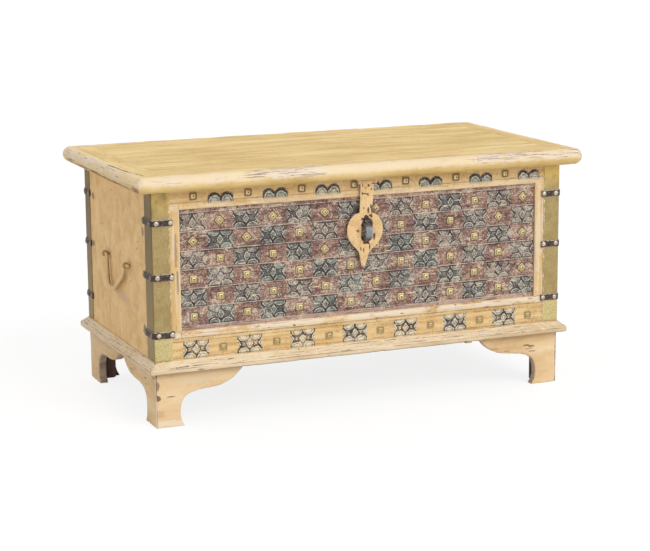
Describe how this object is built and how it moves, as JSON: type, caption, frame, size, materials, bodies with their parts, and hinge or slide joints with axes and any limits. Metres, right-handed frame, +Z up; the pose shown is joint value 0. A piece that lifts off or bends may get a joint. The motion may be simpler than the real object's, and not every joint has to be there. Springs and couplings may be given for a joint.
{
  "type": "low wooden dowry chest",
  "caption": "Low rectangular dowry chest on bracket feet, with a hinged overhanging lid, a studded carved front, brass corners, a hasp and staple, and bail side handles.",
  "frame": {"origin": "on the floor, under the middle of the case and of the lid", "axes": "+X to the right seen from the front, +Y to the back, +Z up; the carved front and its hasp face -Y"},
  "size_m": [1.094, 0.598, 0.5624],
  "materials": {
    "lid_wood": "worn yellow-ochre and cream wash over boards, satin, paler and scratched along the front edge",
    "frame_wood": "worn cream-orange paint over timber, satin, with pale scuffs on the arrises",
    "panel_wood": "dark maroon-brown ground with pale horizontal scratches and grey-green carving",
    "raw_wood": "unpainted dark timber, matt",
    "corner_brass": "aged olive-gold sheet, finely hammered, semi-matt",
    "strap_iron": "dark brown iron, matt",
    "bright_nails": "bright worn silver-coloured domes",
    "stud_brass": "pale brass pyramids, worn bright at the points",
    "rail_nail_brass": "square brass heads half covered by the cream paint",
    "painted_iron": "forged iron under worn cream-ochre paint, dark where it is chipped",
    "hinge_iron": "dark iron, matt",
    "staple_steel": "bluish-grey bare steel, dull"
  },
  "bodies": {
    "case": {"back_lower_board": "frame_wood", "back_upper_board": "frame_wood", "base_moulding_back": "frame_wood", "base_moulding_front": "frame_wood", "base_moulding_left": "frame_wood", "base_moulding_right": "frame_wood", "corner_brass_back_left": "corner_brass", "corner_brass_back_right": "corner_brass", "corner_brass_front_left": "corner_brass", "corner_brass_front_right": "corner_brass", "corner_straps_back": "strap_iron", "corner_straps_front": "strap_iron", "floor_batten": "raw_wood", "floor_board_1": "raw_wood", "floor_board_2": "raw_wood", "floor_board_3": "raw_wood", "floor_cleats": "raw_wood", "foot_back_left_face": "frame_wood", "foot_back_left_return": "frame_wood", "foot_back_right_face": "frame_wood", "foot_back_right_return": "frame_wood", "foot_corner_blocks": "raw_wood", "foot_front_left_face": "frame_wood", "foot_front_left_return": "frame_wood", "foot_front_right_face": "frame_wood", "foot_front_right_return": "frame_wood", "front_bottom_rail": "frame_wood", "front_carved_panel": "panel_wood", "front_left_stile": "frame_wood", "front_right_stile": "frame_wood", "front_top_rail": "frame_wood", "handle_left_eyes": "painted_iron", "handle_right_eyes": "painted_iron", "hinge_case_leaves": "hinge_iron", "hinge_case_screws": "hinge_iron", "hinge_pins": "hinge_iron", "left_side_board": "frame_wood", "panel_studs": "stud_brass", "rail_square_nails": "rail_nail_brass", "right_side_board": "frame_wood", "staple": "staple_steel", "strap_dome_nails": "bright_nails", "strap_tacks": "bright_nails"},
    "lid": {"hasp_bracket": "hinge_iron", "hasp_bracket_screws": "hinge_iron", "hasp_pin": "hinge_iron", "hinge_lid_leaves": "hinge_iron", "hinge_lid_screws": "hinge_iron", "lid_battens": "raw_wood", "lid_board_1": "lid_wood", "lid_board_2": "lid_wood", "lid_board_3": "lid_wood", "lid_nosing_back": "lid_wood", "lid_nosing_front": "lid_wood", "lid_nosing_left": "lid_wood", "lid_nosing_right": "lid_wood"},
    "hasp": {"hasp": "painted_iron"},
    "handle_left": {"handle_left_bail": "painted_iron"},
    "handle_right": {"handle_right_bail": "painted_iron"}
  },
  "joints": [
    {"name": "lid_hinge", "type": "hinge", "parent": "case", "child": "lid", "pos_m": [0, 0.2615, 0.5209], "axis": [-1, 0, 0], "range_deg": [0, 100]},
    {"name": "hasp_swing", "type": "hinge", "parent": "lid", "child": "hasp", "pos_m": [0.004, -0.265, 0.5174], "axis": [-1, 0, 0], "range_deg": [0, 90]},
    {"name": "handle_left_swing", "type": "hinge", "parent": "case", "child": "handle_left", "pos_m": [-0.509, -0.008, 0.337], "axis": [0, 1, 0], "range_deg": [0, 175]},
    {"name": "handle_right_swing", "type": "hinge", "parent": "case", "child": "handle_right", "pos_m": [0.509, -0.008, 0.337], "axis": [0, -1, 0], "range_deg": [0, 175]}
  ]
}
